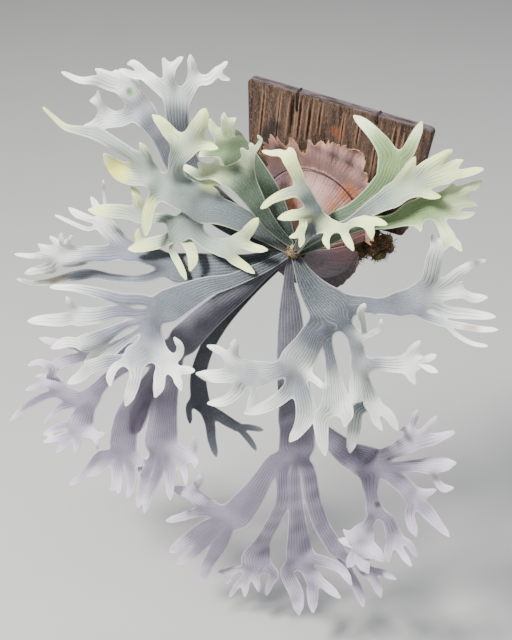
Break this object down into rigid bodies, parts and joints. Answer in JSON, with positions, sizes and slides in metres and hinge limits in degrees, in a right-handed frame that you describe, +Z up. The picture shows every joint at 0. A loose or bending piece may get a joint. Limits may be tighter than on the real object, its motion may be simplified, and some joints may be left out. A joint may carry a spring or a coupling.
{
  "type": "mounted staghorn fern",
  "caption": "Staghorn fern on a wooden wall board: root ball wired to the slab, papery shield fronds over it and long forked antler fronds hanging and spreading from a scaly crown.",
  "frame": {"origin": "middle of the board's flat back face, on the wall", "axes": "+Z up, -Y out of the wall toward the viewer, +X to the viewer's right"},
  "size_m": [0.728, 0.2669, 0.9255],
  "materials": {
    "board_wood": "weathered, rough-sawn",
    "hanger_wire": "satin",
    "binding_wire": "satin",
    "moss_and_roots": "matte, fibrous",
    "crown_scales": "matte, scaly",
    "dry_shield": "papery, matte",
    "older_shield": "papery, matte",
    "silver_frond": "felted, matte",
    "bright_frond": "felted, matte",
    "green_frond": "felted, matte",
    "pink_frond": "felted, matte",
    "shade_frond": "felted, matte"
  },
  "bodies": {
    "root": {"wall_board": "board_wood", "hanger_wire_left": "hanger_wire", "hanger_wire_right": "hanger_wire", "binding_wire": "binding_wire", "root_ball": "moss_and_roots", "crown": "crown_scales", "shield_upper": "dry_shield", "shield_lower": "older_shield", "frond_tall": "silver_frond", "frond_back_left": "silver_frond", "frond_bright": "bright_frond", "frond_veined": "green_frond", "frond_curled": "green_frond", "frond_left": "silver_frond", "frond_left_low": "silver_frond", "frond_pink": "pink_frond", "frond_dark": "shade_frond", "frond_hanging": "pink_frond", "frond_centre": "silver_frond", "frond_front": "bright_frond", "frond_right_up": "green_frond", "frond_right_far": "bright_frond", "frond_right_low": "green_frond"}
  },
  "joints": []
}
